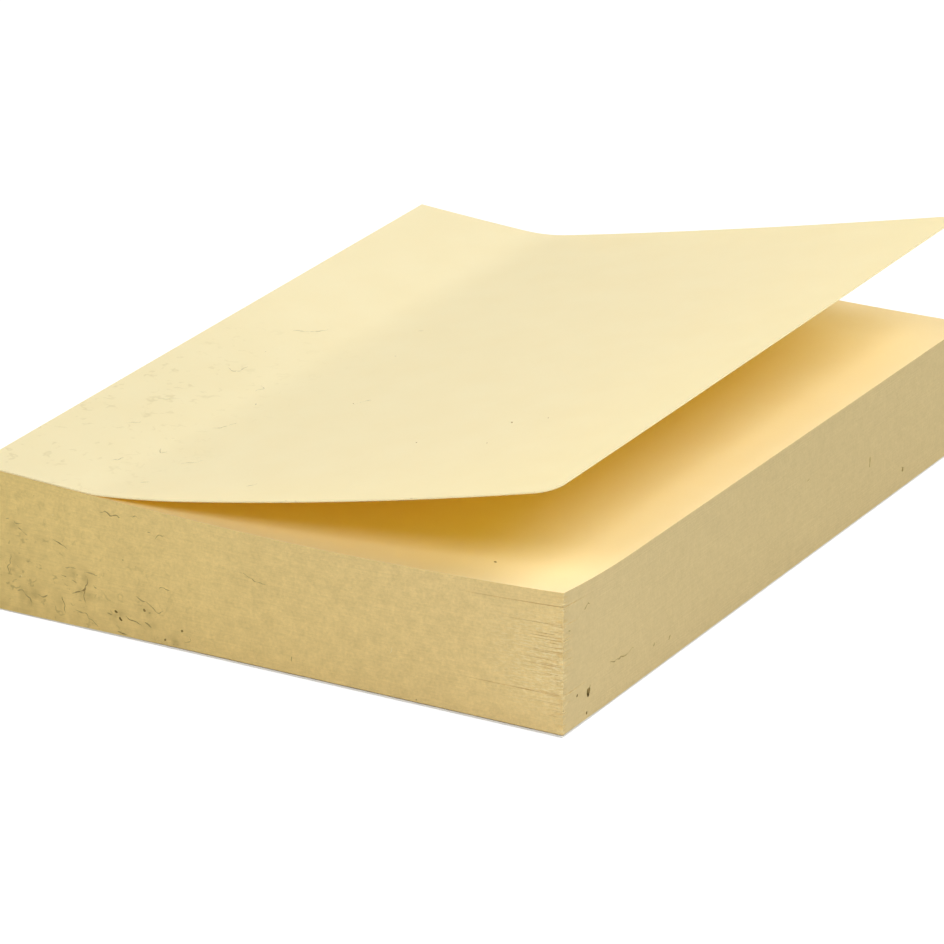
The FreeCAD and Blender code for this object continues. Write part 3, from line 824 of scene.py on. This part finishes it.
def lay_lint(name, carrier, face, threads, thinnest, material):
    """Lays threads and specks on a piece. The face gives the two directions their places are measured
    in, a place on it, and the way in to it; each thread is dropped that way onto the piece. Thinnest is
    the share of its thickness that a thread keeps where it is thin."""
    across, up, start, inward = [Vector(part) for part in face]
    curve = bpy.data.curves.new(name + "_paths", "CURVE")
    curve.dimensions = "3D"
    for thickness, places in threads:
        spline = curve.splines.new("POLY")
        spline.points.add(len(places) - 1)
        for point, (a, b) in zip(spline.points, places):
            point.co = (*(start + across * a + up * b - inward * 2), 1.0)
            point.radius = thickness / 2
    paths = bpy.data.objects.new(name + "_paths", curve)
    bpy.context.scene.collection.objects.link(paths)
    sizes = {"Paths": paths, "Carrier": carrier, "Way in": tuple(inward), "Step": 0.06, "Crinkle": 0.6,
             "Crinkle length": 0.35, "Thinnest": thinnest, "Outermost": (free_x, -near_y, 100.0)}
    tree, size = new_tree(name, sizes)
    threads = add(tree, "GeometryNodeObjectInfo", {0: size["Paths"]}, transform_space="ORIGINAL").outputs["Geometry"]
    threads = add(tree, "GeometryNodeCurveSplineType", {0: threads}, spline_type="CATMULL_ROM")
    threads = add(tree, "GeometryNodeResampleCurve", {0: threads, "Length": size["Step"]}, mode="LENGTH")
    carrier_shape = add(tree, "GeometryNodeObjectInfo", {0: size["Carrier"]}, transform_space="ORIGINAL")
    carrier_shape = add(tree, "GeometryNodeTransform", {
        0: carrier_shape.outputs["Geometry"], "Scale": (1 / MM, 1 / MM, 1 / MM),
    })
    position = add(tree, "GeometryNodeInputPosition")
    kinks = add(tree, NOISE, {
        "Vector": position, "Scale": add(tree, MATH, {0: 1.0, 1: size["Crinkle length"]}, operation="DIVIDE"),
        "Detail": 1.0,
    }).outputs["Color"]
    kinks = add(tree, VECTOR, {0: kinks, 1: (0.5, 0.5, 0.5)}, operation="SUBTRACT")
    kinks = add(tree, VECTOR, {0: kinks, "Scale": size["Crinkle"]}, operation="SCALE")
    bent = add(tree, "GeometryNodeSetPosition", {0: threads, "Offset": kinks})
    dropped = add(tree, "GeometryNodeRaycast", {
        0: carrier_shape, "Source Position": position, "Ray Direction": size["Way in"], "Ray Length": 60.0,
    })
    missed = add(tree, "FunctionNodeBooleanMath", {0: dropped.outputs["Is Hit"]}, operation="NOT")
    over_piece = add(tree, "GeometryNodeDeleteGeometry", {0: bent, "Selection": missed}, domain="POINT")
    placed = add(tree, "GeometryNodeSetPosition", {0: over_piece, "Position": dropped.outputs["Hit Position"]})
    settled = add(tree, "GeometryNodeBlurAttribute", {"Value": position, "Iterations": 2}, data_type="FLOAT_VECTOR")
    placed = add(tree, "GeometryNodeSetPosition", {0: placed, "Position": settled})
    # Each thread thins out towards its ends
    along = add(tree, "GeometryNodeSplineParameter").outputs["Factor"]
    taper = add(tree, MATH, {0: along, 1: 2.0, 2: -1.0}, operation="MULTIPLY_ADD")
    taper = add(tree, MATH, {0: taper, 1: 4.0}, operation="POWER")
    taper = add(tree, MATH, {0: 1.0, 1: add(tree, MATH, {0: taper, 1: 0.75}, operation="MULTIPLY")}, operation="SUBTRACT")
    # and is thick and thin by turns, so that it shows in broken lengths
    uneven = add(tree, NOISE, {"Vector": position, "Scale": 3.0, "Detail": 2.0})
    uneven = add(tree, RANGE, {0: uneven, 1: 0.38, 2: 0.6, 3: size["Thinnest"], 4: 1.0})
    taper = add(tree, MATH, {0: taper, 1: uneven}, operation="MULTIPLY")
    solid = add(tree, "GeometryNodeCurveToMesh", {
        0: placed,
        "Profile Curve": add(tree, "GeometryNodeCurvePrimitiveCircle", {"Resolution": 5, "Radius": 1.0}),
        "Scale": add(tree, MATH, {0: add(tree, "GeometryNodeInputRadius"), 1: taper}, operation="MULTIPLY"),
        "Fill Caps": True,
    })
    # No thread stands out past the pad
    inmost = add(tree, VECTOR, {0: size["Outermost"], "Scale": -1.0}, operation="SCALE")
    kept_in = add(tree, VECTOR, {0: position, 1: size["Outermost"]}, operation="MINIMUM")
    kept_in = add(tree, VECTOR, {0: kept_in, 1: inmost}, operation="MAXIMUM")
    solid = add(tree, "GeometryNodeSetPosition", {0: solid, "Position": kept_in})
    solid = add(tree, "GeometryNodeSetShadeSmooth", {0: solid})
    end_tree(tree, solid, material)
    lint = grow(name, tree, sizes)
    bpy.data.objects.remove(paths)
    return lint


# ---- pieces ----

edge_paper = cut_edge_paper()
# Painted shade: the stack's top face is a darker, deeper yellow copy of the note paper, for the shade in the gap under
# the lifted note
stack_face_paper_painted_shade = flat_paper("uncoated_note_paper_stack_face_painted_shade", "#F3E0B6", "#F1DCAF", 0.0)
note_paper = flat_paper("uncoated_note_paper_lifted", "#FDF6CF", "#FBF2C8", 0.21)

stack = stack_of_notes(edge_paper, stack_face_paper_painted_shade)
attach(stack, "root")
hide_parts("note_block")

top_note = lifted_note(note_paper)
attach(top_note, "root")
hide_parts("top_sheet")

grey_lint = loose_lint("cotton_lint_settled_on_edges", "#C0AB74", "#9A8654")
dirt = loose_lint("desk_dirt_settled_on_edges", "#95814F", "#6E5B31")
pale_lint = loose_lint("cotton_lint_settled_on_face", "#E4DAB0", "#C6BD97")
raised_fibre = loose_lint("note_paper_fibre_raised", "#F3E2B0", "#EAD7A0")
lint_layers = (
    ("near_side_lint", stack, near_side, near_side_lint, 0.25, grey_lint, "note_paper"),
    ("near_side_specks", stack, near_side, near_side_specks, 0.70, dirt, "note_paper"),
    ("free_side_lint", stack, free_side, free_side_lint, 0.25, grey_lint, "note_paper"),
    ("free_side_specks", stack, free_side, free_side_specks, 0.70, dirt, "note_paper"),
    ("worn_corner_fibre", stack, near_side, worn_fibre, 0.40, raised_fibre, "note_paper"),
    ("top_note_lint", top_note, note_face, top_note_lint, 0.25, pale_lint, "top_note_paper"),
    ("top_note_specks", top_note, note_face, top_note_specks, 0.70, grey_lint, "top_note_paper"),
    ("stack_top_specks", stack, note_face, stack_top_specks, 0.70, dirt, "note_paper"),
    ("top_note_edge_fibre", top_note, note_face, note_edge_fibre, 0.40, raised_fibre, "top_note_paper"),
)
for name, carrier, face, threads, thinnest, material, slot in lint_layers:
    layer = lay_lint(name, carrier, face, threads, thinnest, material)
    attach(layer, "root")

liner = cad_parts["backing_sheet"]
liner.data.materials.clear()
liner.data.materials.append(liner_paper())


# ---- studio ----


def shows_plainly(tree):
    """1 for what the camera sees straight, in a mirror or through glass. Light that soaks through the
    paper isn't counted, so it stays the lamps' own light."""
    path = add(tree, "ShaderNodeLightPath")
    through = add(tree, MATH, {
        0: path.outputs["Is Transmission Ray"], 1: path.outputs["Is Diffuse Ray"],
    }, operation="SUBTRACT")
    seen = add(tree, MATH, {0: path.outputs["Is Camera Ray"], 1: path.outputs["Is Glossy Ray"]}, operation="MAXIMUM")
    return add(tree, MATH, {0: seen, 1: through}, operation="MAXIMUM")


def studio_floor():
    """Matt white table. What the camera sees of it is lifted to white, and the pad's shadow stays."""
    material, tree = new_material("matt_white_table")
    seen = shows_plainly(tree)
    place = add(tree, "ShaderNodeTexCoord").outputs["Object"]
    clouds = add(tree, NOISE, {"Vector": place, "Scale": 30.0, "Detail": 1.0})
    colour = add(tree, MIX, {"Factor": clouds, 6: linear("#F0F0EE"), 7: linear("#EDEDEB")}, data_type="RGBA")
    matt = add(tree, "ShaderNodeBsdfDiffuse", {"Color": colour.outputs[2]})
    white = add(tree, "ShaderNodeEmission", {"Color": linear("#FFFFFF"), "Strength": 1.16})
    shown = add(tree, "ShaderNodeMixShader", {0: 0.8, 1: matt, 2: white})
    finish_material(tree, add(tree, "ShaderNodeMixShader", {0: seen, 1: matt, 2: shown}))
    half = 3000 * MM
    below = -0.004 * MM
    mesh = bpy.data.meshes.new("floor")
    corners = [(-half, -half, below), (half, -half, below), (half, half, below), (-half, half, below)]
    mesh.from_pydata(corners, [], [(0, 1, 2, 3)])
    mesh.materials.append(material)
    floor = bpy.data.objects.new("floor", mesh)
    bpy.context.scene.collection.objects.link(floor)


def studio_light(name, place, aim, size, power):
    """A soft square lamp. Place, aim and size are in millimetres, power in watts."""
    lamp = bpy.data.lights.new(name, "AREA")
    lamp.shape = "SQUARE"
    lamp.size = size * MM
    lamp.energy = power
    holder = bpy.data.objects.new(name, lamp)
    holder.location = Vector(place) * MM
    holder.rotation_euler = (Vector(aim) - Vector(place)).to_track_quat("-Z", "Y").to_euler()
    bpy.context.scene.collection.objects.link(holder)


def studio_world():
    """Even white light from all round, and plain white where the camera looks past the table."""
    world = bpy.data.worlds.new("studio")
    world.use_nodes = True
    tree = world.node_tree
    tree.nodes.clear()
    seen = shows_plainly(tree)
    strength = add(tree, RANGE, {0: seen, 1: 0.0, 2: 1.0, 3: 0.1, 4: 1.0})
    light = add(tree, "ShaderNodeBackground", {"Color": linear("#FFFFFF"), "Strength": strength})
    add(tree, "ShaderNodeOutputWorld", {"Surface": light})
    bpy.context.scene.world = world


studio_floor()
studio_world()
studio_light("right_softbox", (243, 86, 369), (0, 0, 8), 300, 1.41)
studio_light("front_softbox", (-40, -328, 317), (0, 0, 8), 180, 0.89)
studio_light("back_softbox", (60, 380, 240), (0, 0, 8), 260, 0.58)
studio_light("left_softbox", (-300, -120, 280), (0, 0, 8), 260, 0.11)

scene = bpy.context.scene
scene.view_settings.view_transform = "Standard"
# Light in the gap under the lifted note goes to and fro many times and turns golden
scene.cycles.max_bounces = 24
scene.cycles.diffuse_bounces = 16

camera_data = bpy.data.cameras.new("camera")
camera_data.sensor_width = 36.0
camera_data.lens = 253.79
camera_data.clip_start = 0.01
camera_data.clip_end = 20.0
camera = bpy.data.objects.new("camera", camera_data)
camera.location = Vector((178.621, -317.544, 148.306)) * MM
aim = Vector((-1.301, 0.455, 2.77)) * MM
camera.rotation_euler = (aim - camera.location).to_track_quat("-Z", "Y").to_euler()
scene.collection.objects.link(camera)
scene.camera = camera
